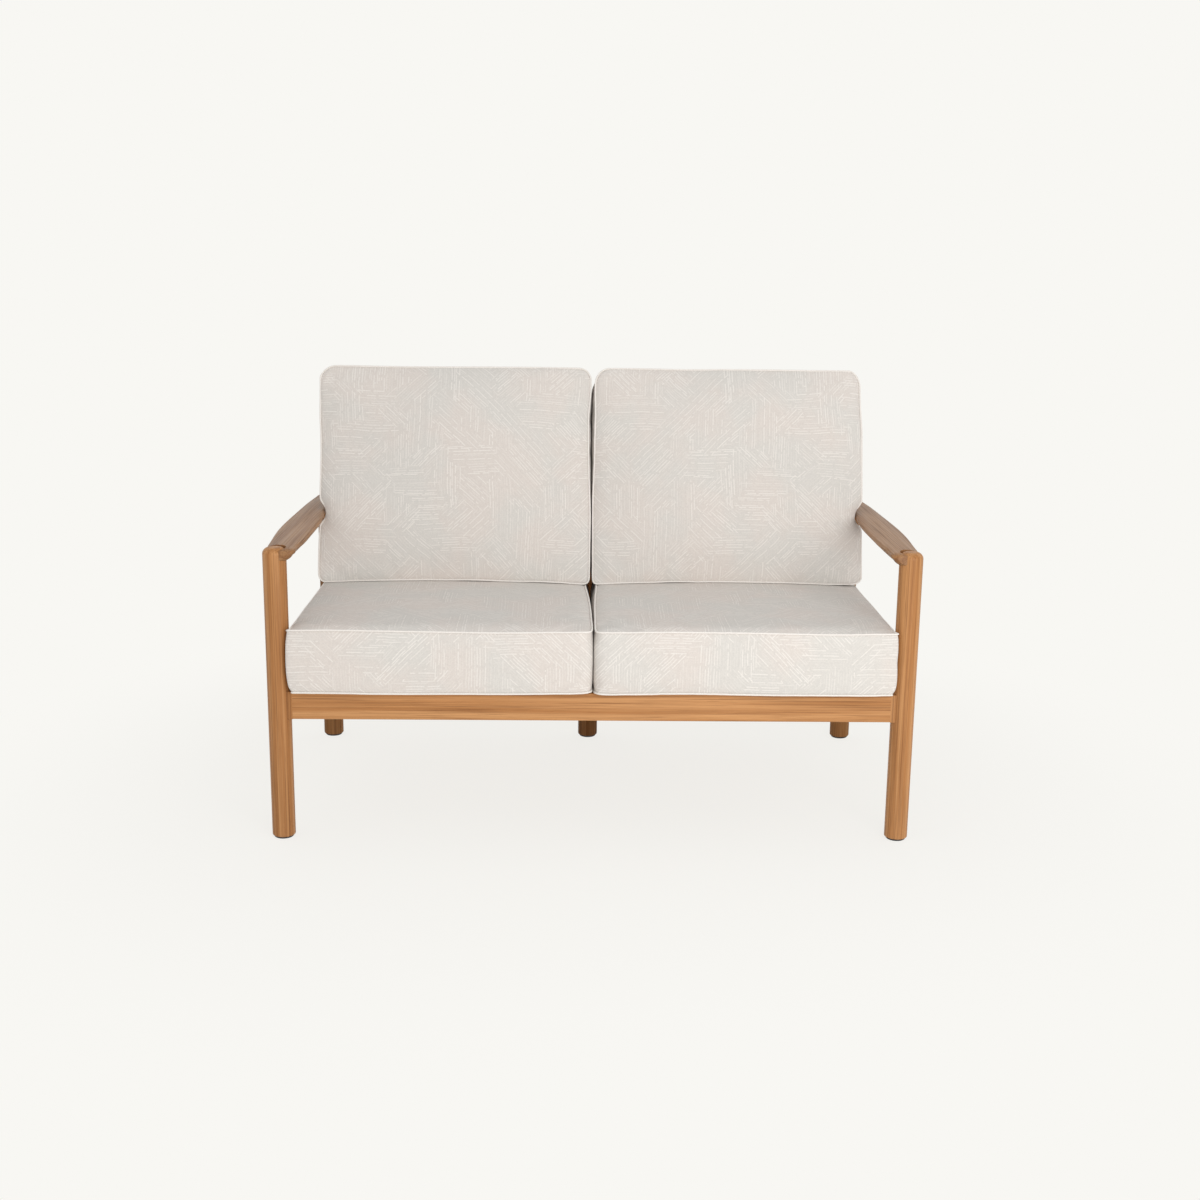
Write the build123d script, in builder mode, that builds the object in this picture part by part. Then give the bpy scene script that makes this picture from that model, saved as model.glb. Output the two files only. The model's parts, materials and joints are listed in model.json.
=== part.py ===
"""Patio loveseat: a teak frame on five round legs, with paddle arms, a leaning slatted back,
a slatted seat and four loose boxed cushions. Millimetres, +Z up, the front faces -Y.
The origin is on the floor, at the middle of the overall width and depth."""

import os
from math import cos, radians, sin, tan

from build123d import *

os.makedirs("parts", exist_ok=True)

# Driving dimensions of the frame
leg_spacing_wide = 1277.0
leg_spacing_deep = 689.0
leg_diameter = 47.5
arm_top = 611.0
rail_bottom = 257.0
rail_height = 58.0
rail_thickness = 28.0
rail_setback = 8.0
side_rail_thickness = 30.0
boss_proud = 4.5
overrun = 20.0

# Fits
glue_gap = 0.1
shank_gap = 0.1
cushion_gap = 0.4
slat_end_gap = 0.5
arm_side_gap = 9.0

# Driving dimensions of the leaning back
back_lean = 15.0
back_before_legs = 106.25
back_rise = 549.0
stile_width = 34.0
stile_thickness = 30.0
stile_gap = 0.2
stile_foot_drop = 54.0
top_rail_height = 62.0
top_rail_edge = 8.0
low_rail_height = 45.0
low_rail_thickness = 24.0
low_rail_rise = 34.0
back_slat_count = 9
back_slat_width = 44.0
back_slat_thickness = 12.0
back_tenon = 10.0

# Driving dimensions of the cushions
seat_cushion_height = 134.5
seat_crown = 8.0
seat_flare = 8.0
seat_proud = 12.0
back_cushion_thickness = 200.0
back_crown = 18.0
back_cushion_height = 500.0
back_cushion_press = 3.0
press_slope = 2.0
back_arm_overlap = 14.25
cover_wall = 3.0
edge_roll = 6.0
side_draw = 4.0
seat_corner = 26.0
back_corner = 46.0
# Each crown level: rise as a share of the crown, inset as a share of the shorter side
crown_level_shares = ((0.0, 0.0), (0.42, 0.055), (0.8, 0.19), (1.0, 0.36))
crown_round_share = 0.8

# Heights and places that follow
lean = radians(back_lean)
rail_top = rail_bottom + rail_height
leg_radius = leg_diameter / 2
leg_x = leg_spacing_wide / 2
inner_x = leg_x - leg_radius
boss_reach = leg_radius + boss_proud
rear_reach = (
    (back_rise - top_rail_edge) * sin(lean)
    + (stile_thickness - top_rail_edge) * cos(lean)
    + top_rail_edge
)
overall_depth = seat_proud + leg_radius + leg_spacing_deep - back_before_legs + rear_reach
post_front = seat_proud - overall_depth / 2
post_y = post_front + leg_radius
rear_leg_y = post_y + leg_spacing_deep
back_y = rear_leg_y - back_before_legs


def block(low, high, mode=Mode.ADD):
    """A box between two opposite corners."""
    middle = tuple((a + b) / 2 for a, b in zip(low, high))
    size = tuple(b - a for a, b in zip(low, high))
    with Locations(middle):
        Box(*size, mode=mode)


def rod(start, direction, radius, length, mode=Mode.ADD):
    """A round bar from a point, along a direction."""
    with BuildSketch(Plane(origin=start, z_dir=direction)) as section:
        Circle(radius)
    extrude(section.sketch, amount=length, mode=mode)


def save(part, name):
    part.label = name
    export_step(part, f"parts/{name}.step")


def save_pair(part, name):
    """Writes a piece of the +X side, and its mirror image for the -X side."""
    save(part, f"{name}_right")
    with BuildPart() as twin:
        mirror(part, about=Plane.YZ)
    save(twin.part, f"{name}_left")


# Floor glides: a nylon disc with a stem driven up into the leg
glide_height = 4.0
glide_radius = 20.0
glide_edge = 1.2
glide_stem_radius = 4.0
glide_stem_length = 22.0


def foot_glide(x, y):
    with BuildPart() as glide:
        with BuildSketch(Plane((x, y, 0))):
            Circle(glide_radius)
        extrude(amount=glide_height)
        chamfer(glide.edges().group_by(Axis.Z)[0], length=glide_edge)
        rod((x, y, glide_height), (0, 0, 1), glide_stem_radius, glide_stem_length)
    return glide.part


def glide_socket(x, y):
    """The hole in a leg's foot that takes the glide's stem."""
    rod((x, y, glide_height - overrun), (0, 0, 1), glide_stem_radius + shank_gap,
        overrun + glide_stem_length + shank_gap, mode=Mode.SUBTRACT)


# Tenons of the seat rails, and the bosses and mortises that take them in the legs
tenon_length = 17.0
tenon_thickness = 12.0
tenon_height = 38.0
leg_foot_edge = 3.0
post_dome = 14.0

rail_y_front = post_front + rail_setback + rail_thickness / 2
rail_y_rear = rear_leg_y
side_rail_x = inner_x + side_rail_thickness / 2
rail_middle_z = rail_bottom + rail_height / 2
rail_end_x = leg_x - boss_reach


def leg_bosses(y, rail_y, towards):
    """Flat shoulders on a round leg: one for the cross rail, one for the side rail."""
    block((rail_end_x, rail_y - rail_thickness / 2, rail_bottom),
          (leg_x, rail_y + rail_thickness / 2, rail_top))
    side_low, side_high = sorted((y, y + towards * boss_reach))
    block((inner_x, side_low, rail_bottom),
          (inner_x + side_rail_thickness, side_high, rail_top))


def leg_mortises(y, rail_y, towards):
    half_thickness = tenon_thickness / 2 + glue_gap
    half_height = tenon_height / 2 + glue_gap
    depth = tenon_length + glue_gap
    block((rail_end_x - overrun, rail_y - half_thickness, rail_middle_z - half_height),
          (rail_end_x + depth, rail_y + half_thickness, rail_middle_z + half_height),
          mode=Mode.SUBTRACT)
    face = y + towards * boss_reach
    low, high = sorted((face + towards * overrun, face - towards * depth))
    block((side_rail_x - half_thickness, low, rail_middle_z - half_height),
          (side_rail_x + half_thickness, high, rail_middle_z + half_height),
          mode=Mode.SUBTRACT)


# Arms: a paddle that narrows to both ends. Each station gives its place along the arm, the
# inner and outer edge beside the leg's axis, its thickness and how far its top has dropped.
arm_width = 83.5
arm_thickness = 30.0
arm_rear_overhang = 2.5
arm_edge = 11.0
arm_crown = 2.6
arm_start = 3.5
edge_round_share = 0.46
arm_station_shares = (
    (0.000, 0.383, 0.060, 0.62, 0.160),
    (0.012, 0.497, 0.144, 0.84, 0.050),
    (0.040, 0.500, 0.206, 1.00, 0.000),
    (0.121, 0.515, 0.267, 1.00, 0.000),
    (0.270, 0.525, 0.361, 1.00, 0.000),
    (0.499, 0.480, 0.395, 1.00, 0.000),
    (0.640, 0.365, 0.377, 1.00, 0.000),
    (0.728, 0.286, 0.365, 1.00, 0.000),
    (0.800, 0.278, 0.350, 1.00, 0.000),
    (0.940, 0.276, 0.290, 1.00, 0.000),
    (0.985, 0.225, 0.210, 0.84, 0.050),
    (1.000, 0.100, 0.090, 0.50, 0.180),
)
arm_first_y = post_front + arm_start
arm_length = rear_leg_y + leg_radius + arm_rear_overhang - arm_first_y

arm_dowel_radius = 5.0
arm_dowel_length = 44.0
arm_dowel_drop = 15.0
leg_dowel_radius = 6.0
leg_dowel_length = 36.0
leg_dowel_in_arm = 16.0


def arm_section(station):
    along, inner, outer, thickness, drop = station
    low_x = leg_x - inner * arm_width
    high_x = leg_x + outer * arm_width
    middle_x = (low_x + high_x) / 2
    top = arm_top - drop * arm_thickness
    shoulder = top - arm_crown
    edge = arm_edge * thickness
    round_in = edge * edge_round_share
    belly = top - arm_thickness * thickness
    with BuildSketch(Plane.XZ.offset(-arm_first_y - along * arm_length)) as section:
        with BuildLine():
            ThreePointArc((low_x + round_in, shoulder), (middle_x, top),
                          (high_x - round_in, shoulder))
            ThreePointArc((high_x - round_in, shoulder), (high_x, shoulder - edge / 2),
                          (high_x - round_in, shoulder - edge))
            ThreePointArc((high_x - round_in, shoulder - edge), (middle_x, belly),
                          (low_x + round_in, shoulder - edge))
            ThreePointArc((low_x + round_in, shoulder - edge), (low_x, shoulder - edge / 2),
                          (low_x + round_in, shoulder))
        make_face()
    return section.sketch


arm_dowel_z = arm_top - arm_dowel_drop
arm_dowel_start = post_y + leg_radius - arm_dowel_length / 2
leg_dowel_start = arm_top - arm_thickness + leg_dowel_in_arm - leg_dowel_length

with BuildPart() as arm:
    loft([arm_section(station) for station in arm_station_shares])
    rod((leg_x, post_y, 0), (0, 0, 1), leg_radius + glue_gap, arm_top + overrun,
        mode=Mode.SUBTRACT)
    rod((leg_x, arm_dowel_start - shank_gap, arm_dowel_z), (0, 1, 0),
        arm_dowel_radius + shank_gap, arm_dowel_length + 2 * shank_gap, mode=Mode.SUBTRACT)
    rod((leg_x, rear_leg_y, 0), (0, 0, 1), leg_dowel_radius + shank_gap,
        leg_dowel_start + leg_dowel_length + shank_gap, mode=Mode.SUBTRACT)
save_pair(arm.part, "arm")

with BuildPart() as arm_dowels:
    for side in (-1, 1):
        rod((side * leg_x, arm_dowel_start, arm_dowel_z), (0, 1, 0),
            arm_dowel_radius, arm_dowel_length)
        rod((side * leg_x, rear_leg_y, leg_dowel_start), (0, 0, 1),
            leg_dowel_radius, leg_dowel_length)
save(arm_dowels.part, "arm_dowels")

# Front posts: one round turning from the floor to the top of the arm, domed at the top
with BuildPart() as front_post:
    with BuildSketch(Plane((leg_x, post_y, glide_height))):
        Circle(leg_radius)
    extrude(amount=arm_top - glide_height)
    fillet(front_post.edges().group_by(Axis.Z)[-1], radius=post_dome)
    fillet(front_post.edges().group_by(Axis.Z)[0], radius=leg_foot_edge)
    leg_bosses(post_y, rail_y_front, 1)
    leg_mortises(post_y, rail_y_front, 1)
    glide_socket(leg_x, post_y)
    rod((leg_x, arm_dowel_start - shank_gap, arm_dowel_z), (0, 1, 0),
        arm_dowel_radius + shank_gap, arm_dowel_length, mode=Mode.SUBTRACT)
save_pair(front_post.part, "front_post")

# Back frame's own plane: x along the loveseat, y up the lean, z forwards out of the frame
frame_plane = Plane(origin=(0, back_y, rail_top), x_dir=(1, 0, 0),
                    z_dir=(0, -cos(lean), sin(lean)))


def back_point(x, up, forward):
    """A point in the leaning frame's own directions, as a point of the model."""
    return (x, back_y + up * sin(lean) - forward * cos(lean),
            rail_top + up * cos(lean) + forward * sin(lean))


def back_board(x_low, x_high, up_low, up_high, thickness, mode=Mode.ADD, behind=0.0):
    """A board in the leaning frame: its front lies behind the frame's front plane."""
    with BuildSketch(frame_plane.offset(-behind - thickness)) as face:
        with Locations(((x_low + x_high) / 2, (up_low + up_high) / 2)):
            Rectangle(x_high - x_low, up_high - up_low)
    extrude(face.sketch, amount=thickness, mode=mode)


# Screws and bolts of the back frame
bolt_radius = 3.0
bolt_head_radius = 5.0
bolt_head_height = 6.0
bolt_socket_radius = 2.6
bolt_socket_depth = 3.5
bolt_head_recess = 7.0
insert_radius = 5.0
insert_length = 15.0
insert_sink = 0.2
leg_bolt_drop = 49.0
leg_bolt_setback = 17.0
foot_bolt_drop = 30.0

stile_outer_x = inner_x - stile_gap
stile_inner_x = stile_outer_x - stile_width
stile_top = back_rise - top_rail_height
bolt_start_x = stile_inner_x + bolt_head_recess
leg_bolt = (rear_leg_y - leg_bolt_setback, arm_top - leg_bolt_drop)
foot_bolt = back_point(0, -foot_bolt_drop, -stile_thickness / 2)[1:]
leg_chord = (leg_radius**2 - leg_bolt_setback**2) ** 0.5
insert_starts = (leg_x - leg_chord + insert_sink, inner_x + insert_sink)
bolt_places = tuple(zip((leg_bolt, foot_bolt), insert_starts))


def bolt_holes(from_x, radius, length):
    """The holes along X for the two bolts of one side."""
    for y, z in (leg_bolt, foot_bolt):
        rod((from_x, y, z), (1, 0, 0), radius, length, mode=Mode.SUBTRACT)


# Rear legs: they stop under the arms, coped to the arm's belly
with BuildPart() as rear_leg:
    with BuildSketch(Plane((leg_x, rear_leg_y, glide_height))):
        Circle(leg_radius)
    extrude(amount=arm_top - arm_thickness / 2 - glide_height)
    fillet(rear_leg.edges().group_by(Axis.Z)[0], radius=leg_foot_edge)
    leg_bosses(rear_leg_y, rail_y_rear, -1)
    leg_mortises(rear_leg_y, rail_y_rear, -1)
    glide_socket(leg_x, rear_leg_y)
    add(arm.part, mode=Mode.SUBTRACT)
    rod((leg_x, rear_leg_y, leg_dowel_start - shank_gap), (0, 0, 1),
        leg_dowel_radius + shank_gap, leg_dowel_length, mode=Mode.SUBTRACT)
    rod((leg_x - leg_radius - overrun, *leg_bolt), (1, 0, 0), insert_radius + shank_gap,
        overrun + insert_starts[0] - inner_x + insert_length + shank_gap, mode=Mode.SUBTRACT)
save_pair(rear_leg.part, "rear_leg")

# Seat rails
rail_edge = 3.0


def tenon(centre, half_size):
    low = [c - h for c, h in zip(centre, half_size)]
    high = [c + h for c, h in zip(centre, half_size)]
    block(low, high)


def cross_rail(y):
    """A rail between two legs, with a tenon at each end."""
    with BuildPart() as rail:
        block((-rail_end_x, y - rail_thickness / 2, rail_bottom),
              (rail_end_x, y + rail_thickness / 2, rail_top))
        fillet(rail.edges().filter_by(Axis.X), radius=rail_edge)
        for side in (-1, 1):
            tenon((side * rail_end_x, y, rail_middle_z),
                  (tenon_length, tenon_thickness / 2, tenon_height / 2))
    return rail


# Centre leg, under the middle of the rear rail, with a round tenon turned on its top
centre_tenon_radius = 9.0
centre_tenon_length = 12.0

with BuildPart() as centre_leg:
    with BuildSketch(Plane((0, rear_leg_y, glide_height))):
        Circle(leg_radius)
    extrude(amount=rail_bottom - glide_height)
    fillet(centre_leg.edges().group_by(Axis.Z)[0], radius=leg_foot_edge)
    rod((0, rear_leg_y, rail_bottom), (0, 0, 1), centre_tenon_radius, centre_tenon_length)
    glide_socket(0, rear_leg_y)
save(centre_leg.part, "centre_rear_leg")

# Centre stretcher from the front rail to the rear rail, under the slats
slat_thickness = 12.0
stretcher_width = 34.0
stretcher_drop = 8.0
stretcher_tenon = 12.0
stretcher_tenon_width = 14.0
stretcher_tenon_height = 24.0
slat_under = rail_top - slat_thickness
stretcher_front = rail_y_front + rail_thickness / 2
stretcher_rear = rail_y_rear - rail_thickness / 2
stretcher_z = (rail_bottom + stretcher_drop + slat_under) / 2

with BuildPart() as stretcher:
    block((-stretcher_width / 2, stretcher_front, rail_bottom + stretcher_drop),
          (stretcher_width / 2, stretcher_rear, slat_under))
    tenon((0, (stretcher_front + stretcher_rear) / 2, stretcher_z),
          (stretcher_tenon_width / 2, (stretcher_rear - stretcher_front) / 2 + stretcher_tenon,
           stretcher_tenon_height / 2))

stretcher_mortise = (stretcher_tenon_width / 2 + glue_gap, stretcher_tenon + glue_gap,
                     stretcher_tenon_height / 2 + glue_gap)
front_rail = cross_rail(rail_y_front)
with front_rail:
    half_x, depth, half_z = stretcher_mortise
    block((-half_x, stretcher_front - depth, stretcher_z - half_z),
          (half_x, stretcher_front + overrun, stretcher_z + half_z), mode=Mode.SUBTRACT)
save(front_rail.part, "front_rail")

rear_rail = cross_rail(rail_y_rear)
with rear_rail:
    block((-half_x, stretcher_rear - overrun, stretcher_z - half_z),
          (half_x, stretcher_rear + depth, stretcher_z + half_z), mode=Mode.SUBTRACT)
    rod((0, rear_leg_y, rail_bottom - overrun), (0, 0, 1), centre_tenon_radius + shank_gap,
        overrun + centre_tenon_length + shank_gap, mode=Mode.SUBTRACT)
save(rear_rail.part, "rear_rail")

# Ledgers, which carry the slats' ends along the side rails
ledger_width = 22.0
ledger_height = 38.0
ledger_edge = 1.5
ledger_front = post_y + boss_reach
ledger_rear_gap = 6.0
ledger_rear = back_y - (rail_top - slat_under + ledger_height) * tan(lean) - ledger_rear_gap
ledger_low = slat_under - ledger_height
side_rail_front = post_y + boss_reach
side_rail_rear = rear_leg_y - boss_reach

# Slats: evenly spread from behind the front rail to the foot of the back
slat_count = 8
slat_gap = 16.6
slat_edge = 2.0
slat_front_gap = 6.0
slat_rear_gap = 8.0
slat_half = inner_x - slat_end_gap
slats_front = post_front + rail_setback + rail_thickness + slat_front_gap
slats_rear = back_y - slat_thickness * tan(lean) - slat_rear_gap
slat_pitch = (slats_rear - slats_front + slat_gap) / slat_count
slat_width = slat_pitch - slat_gap
slat_ys = [slats_front + slat_width / 2 + slat_pitch * n for n in range(slat_count)]

# Wood screws, drawn plain: a countersunk head and a shank
screw_radius = 2.0
screw_head_radius = 4.0
screw_head_height = 2.4
slat_screw_length = 30.0
ledger_screw_length = 42.0
ledger_screw_count = 4
end_screw_inset = ledger_width / 2


def slat_screw_xs():
    return (-inner_x + end_screw_inset, 0, inner_x - end_screw_inset)


def wood_screw(head, direction, length):
    """A countersunk screw: its head's top is at the point head."""
    with BuildSketch(Plane(origin=head, z_dir=direction)) as wide:
        Circle(screw_head_radius)
    with BuildSketch(Plane(origin=head, z_dir=direction).offset(screw_head_height)) as narrow:
        Circle(screw_radius)
    loft([wide.sketch, narrow.sketch])
    rod(head, direction, screw_radius, length)


def screw_hole(head, direction, length):
    """The countersunk hole that such a screw fills, a gap wider all round."""
    with BuildSketch(Plane(origin=head, z_dir=direction)) as wide:
        Circle(screw_head_radius + shank_gap)
    with BuildSketch(Plane(origin=head, z_dir=direction).offset(screw_head_height)) as narrow:
        Circle(screw_radius + shank_gap)
    loft([wide.sketch, narrow.sketch], mode=Mode.SUBTRACT)
    rod(head, direction, screw_radius + shank_gap, length + shank_gap, mode=Mode.SUBTRACT)


ledger_screw_z = (ledger_low + slat_under) / 2
ledger_screw_ys = [ledger_front + (ledger_rear - ledger_front) * (n + 0.5) / ledger_screw_count
                   for n in range(ledger_screw_count)]
ledger_face = inner_x - ledger_width

with BuildPart() as side_rail:
    block((inner_x, side_rail_front, rail_bottom),
          (inner_x + side_rail_thickness, side_rail_rear, rail_top))
    fillet(side_rail.edges().filter_by(Axis.Y), radius=rail_edge)
    tenon((side_rail_x, (side_rail_front + side_rail_rear) / 2, rail_middle_z),
          (tenon_thickness / 2, (side_rail_rear - side_rail_front) / 2 + tenon_length,
           tenon_height / 2))
    rod((inner_x - overrun, *foot_bolt), (1, 0, 0), insert_radius + shank_gap,
        overrun + insert_sink + insert_length + shank_gap, mode=Mode.SUBTRACT)
    for y in ledger_screw_ys:
        screw_hole((ledger_face, y, ledger_screw_z), (1, 0, 0), ledger_screw_length)
save_pair(side_rail.part, "side_rail")

with BuildPart() as ledger:
    block((ledger_face, ledger_front, ledger_low), (inner_x, ledger_rear, slat_under))
    chamfer(ledger.edges().filter_by(Axis.Y).group_by(Axis.X)[0], length=ledger_edge)
    for y in ledger_screw_ys:
        screw_hole((ledger_face, y, ledger_screw_z), (1, 0, 0), ledger_screw_length)
    for y in slat_ys:
        screw_hole((inner_x - end_screw_inset, y, rail_top), (0, 0, -1), slat_screw_length)
save_pair(ledger.part, "slat_ledger")

with stretcher:
    for y in slat_ys:
        screw_hole((0, y, rail_top), (0, 0, -1), slat_screw_length)
save(stretcher.part, "centre_stretcher")

for number, y in enumerate(slat_ys, 1):
    with BuildPart() as slat:
        block((-slat_half, y - slat_width / 2, slat_under), (slat_half, y + slat_width / 2, rail_top))
        fillet(slat.edges().filter_by(Axis.X), radius=slat_edge)
        for x in slat_screw_xs():
            screw_hole((x, y, rail_top), (0, 0, -1), slat_screw_length)
    save(slat.part, f"seat_slat_{number}")

with BuildPart() as slat_screws:
    for y in slat_ys:
        for x in slat_screw_xs():
            wood_screw((x, y, rail_top), (0, 0, -1), slat_screw_length)
save(slat_screws.part, "slat_screws")

with BuildPart() as ledger_screws:
    for side in (-1, 1):
        for y in ledger_screw_ys:
            wood_screw((side * ledger_face, y, ledger_screw_z), (side, 0, 0),
                       ledger_screw_length)
save(ledger_screws.part, "ledger_screws")

# Stiles of the back, bolted to the side rails below and to the rear legs near the arms
stile_edge = 3.0
stile_tenon_width = 18.0
stile_tenon_thickness = 12.0
stile_tenon_length = 30.0
stile_middle_x = (stile_inner_x + stile_outer_x) / 2
stile_tenon_behind = (stile_thickness - stile_tenon_thickness) / 2
low_rail_low = low_rail_rise
low_rail_high = low_rail_rise + low_rail_height
low_rail_behind = (stile_thickness - low_rail_thickness) / 2
low_rail_tenon = 20.0
low_rail_tenon_height = 30.0
low_rail_tenon_thickness = 10.0
low_rail_tenon_behind = (stile_thickness - low_rail_tenon_thickness) / 2
low_rail_middle = (low_rail_low + low_rail_high) / 2


def low_rail_tenon_board(half_length, gap, mode):
    back_board(-half_length, half_length,
               low_rail_middle - low_rail_tenon_height / 2 - gap,
               low_rail_middle + low_rail_tenon_height / 2 + gap,
               low_rail_tenon_thickness + 2 * gap, mode=mode, behind=low_rail_tenon_behind - gap)


with BuildPart() as stile:
    back_board(stile_inner_x, stile_outer_x, -stile_foot_drop, stile_top, stile_thickness)
    fillet(stile.edges().filter_by(Axis(origin=(0, 0, 0), direction=frame_plane.y_dir)),
           radius=stile_edge)
    back_board(stile_middle_x - stile_tenon_width / 2, stile_middle_x + stile_tenon_width / 2,
               stile_top, stile_top + stile_tenon_length, stile_tenon_thickness,
               behind=stile_tenon_behind)
    low_rail_tenon_board(stile_inner_x + low_rail_tenon + glue_gap, glue_gap, Mode.SUBTRACT)
    bolt_holes(stile_inner_x - overrun, bolt_radius + shank_gap, 2 * overrun + stile_width)
    bolt_holes(stile_inner_x - overrun, bolt_head_radius + 2 * shank_gap,
               overrun + bolt_head_recess)
save_pair(stile.part, "back_stile")

# Blocks glued between the rear legs and the stiles, hollowed to fit the round leg
block_front = 38.0
block_rear = 7.5
block_outer = 5.0
block_above = 17.0
block_below = 27.0

with BuildPart() as stile_block:
    block((stile_outer_x + glue_gap, rear_leg_y - block_front, leg_bolt[1] - block_below),
          (leg_x + block_outer, rear_leg_y - block_rear, leg_bolt[1] + block_above))
    rod((leg_x, rear_leg_y, 0), (0, 0, 1), leg_radius + glue_gap, arm_top, mode=Mode.SUBTRACT)
    rod((stile_inner_x, *leg_bolt), (1, 0, 0), insert_radius + shank_gap,
        stile_width + leg_diameter, mode=Mode.SUBTRACT)
save_pair(stile_block.part, "stile_block")

with BuildPart() as back_bolts:
    for side in (-1, 1):
        for (y, z), insert_start in bolt_places:
            rod((side * (bolt_start_x - bolt_head_height), y, z), (side, 0, 0),
                bolt_head_radius, bolt_head_height)
            rod((side * bolt_start_x, y, z), (side, 0, 0), bolt_radius,
                insert_start + insert_length - bolt_start_x)
            with BuildSketch(Plane(origin=(side * (bolt_start_x - bolt_head_height), y, z),
                                   z_dir=(side, 0, 0))):
                RegularPolygon(bolt_socket_radius, side_count=6)
            extrude(amount=bolt_socket_depth, mode=Mode.SUBTRACT)
save(back_bolts.part, "back_bolts")

with BuildPart() as threaded_inserts:
    for side in (-1, 1):
        for (y, z), insert_start in bolt_places:
            rod((side * insert_start, y, z), (side, 0, 0), insert_radius, insert_length)
            rod((side * (insert_start - overrun), y, z), (side, 0, 0), bolt_radius + shank_gap,
                2 * overrun + insert_length, mode=Mode.SUBTRACT)
save(threaded_inserts.part, "threaded_inserts")

# Top and bottom rails of the back, and its upright slats
back_slat_behind = (stile_thickness - back_slat_thickness) / 2
back_slat_span = 2 * stile_inner_x
back_slat_pitch = back_slat_span / (back_slat_count + 1)
back_slat_xs = [back_slat_pitch * (n + 1) - stile_inner_x for n in range(back_slat_count)]
back_slat_edge = 2.0


def back_slat_boards(gap, mode):
    for x in back_slat_xs:
        back_board(x - back_slat_width / 2 - gap, x + back_slat_width / 2 + gap,
                   low_rail_high - back_tenon - gap, stile_top + back_tenon + gap,
                   back_slat_thickness + 2 * gap, mode=mode, behind=back_slat_behind - gap)


with BuildPart() as back_top_rail:
    back_board(-stile_outer_x, stile_outer_x, stile_top, back_rise, stile_thickness)
    fillet(back_top_rail.edges().filter_by(Axis.X), radius=top_rail_edge)
    fillet(back_top_rail.faces().sort_by(Axis.X)[0].edges(), radius=stile_edge)
    fillet(back_top_rail.faces().sort_by(Axis.X)[-1].edges(), radius=stile_edge)
    back_slat_boards(glue_gap, Mode.SUBTRACT)
    for side in (-1, 1):
        back_board(side * stile_middle_x - stile_tenon_width / 2 - glue_gap,
                   side * stile_middle_x + stile_tenon_width / 2 + glue_gap,
                   stile_top - overrun, stile_top + stile_tenon_length + glue_gap,
                   stile_tenon_thickness + 2 * glue_gap, mode=Mode.SUBTRACT,
                   behind=stile_tenon_behind - glue_gap)
save(back_top_rail.part, "back_top_rail")

with BuildPart() as back_low_rail:
    back_board(-stile_inner_x, stile_inner_x, low_rail_low, low_rail_high, low_rail_thickness,
               behind=low_rail_behind)
    fillet(back_low_rail.edges().filter_by(Axis.X), radius=stile_edge)
    low_rail_tenon_board(stile_inner_x + low_rail_tenon, 0, Mode.ADD)
    back_slat_boards(glue_gap, Mode.SUBTRACT)
save(back_low_rail.part, "back_low_rail")

for number, x in enumerate(back_slat_xs, 1):
    with BuildPart() as back_slat:
        back_board(x - back_slat_width / 2, x + back_slat_width / 2,
                   low_rail_high - back_tenon, stile_top + back_tenon, back_slat_thickness,
                   behind=back_slat_behind)
        fillet(back_slat.edges().filter_by(Axis(origin=(0, 0, 0), direction=frame_plane.y_dir)),
               radius=back_slat_edge)
    save(back_slat.part, f"back_slat_{number}")

for name, x, y in (("front_left", -leg_x, post_y), ("front_right", leg_x, post_y),
                   ("rear_left", -leg_x, rear_leg_y), ("rear_right", leg_x, rear_leg_y),
                   ("rear_centre", 0, rear_leg_y)):
    save(foot_glide(x, y), f"foot_glide_{name}")


# Cushions: boxed forms whose sides draw in between the corners, with a crown on one face
def cushion_outline(plane, width, height, corner, rise=0.0):
    """A rectangle with round corners and drawn-in sides, rounder the higher up the crown."""
    half_w, half_h = width / 2, height / 2
    corner += rise * crown_round_share * (min(half_w, half_h) - corner)
    draw = side_draw * (1 - rise * crown_round_share)
    run_w, run_h = half_w - corner, half_h - corner
    bend = corner * sin(radians(45))
    with BuildSketch(plane) as outline:
        with BuildLine():
            for turn in (1, -1):
                ThreePointArc((-turn * run_w, -turn * half_h), (0, turn * (draw - half_h)),
                              (turn * run_w, -turn * half_h))
                ThreePointArc((turn * run_w, -turn * half_h),
                              (turn * (run_w + bend), -turn * (run_h + bend)),
                              (turn * half_w, -turn * run_h))
                ThreePointArc((turn * half_w, -turn * run_h), (turn * (half_w - draw), 0),
                              (turn * half_w, turn * run_h))
                ThreePointArc((turn * half_w, turn * run_h),
                              (turn * (run_w + bend), turn * (run_h + bend)),
                              (turn * run_w, turn * half_h))
        make_face()
    return outline.sketch


def cushion_form(plane, width, height, thickness, crown, corner, inset):
    """A crowned boxed form on a plane, drawn smaller all round by the inset."""
    wide, high = width - 2 * inset, height - 2 * inset
    base = plane.offset(inset)
    top = thickness - 2 * inset
    small = 2 * edge_roll
    foot = cushion_outline(base, wide - 2 * small, high - 2 * small, corner)
    low_seam = cushion_outline(base.offset(edge_roll), wide - small, high - small, corner)
    middle = cushion_outline(base.offset((edge_roll + top) / 2), wide, high, corner)
    high_seam = cushion_outline(base.offset(top), wide - small, high - small, corner)
    crown_levels = []
    for rise, inward in crown_level_shares:
        step = 2 * inward * min(wide, high)
        crown_levels.append(cushion_outline(base.offset(top + rise * crown), wide - small - step,
                                            high - small - step, corner, rise))
    with BuildPart() as form:
        loft([foot, low_seam], ruled=True)
        loft([low_seam, middle, high_seam])
        loft(crown_levels)
    return form.part


seat_low = rail_top + cushion_gap
seat_top = seat_low + seat_cushion_height
seat_front = post_front - seat_proud
seat_rear = back_y - cushion_gap
seat_outer = inner_x - cushion_gap + seat_flare
seat_plane = Plane(((seat_outer + cushion_gap) / 2, (seat_front + seat_rear) / 2, seat_low))
seat_pass = 1.0


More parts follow.
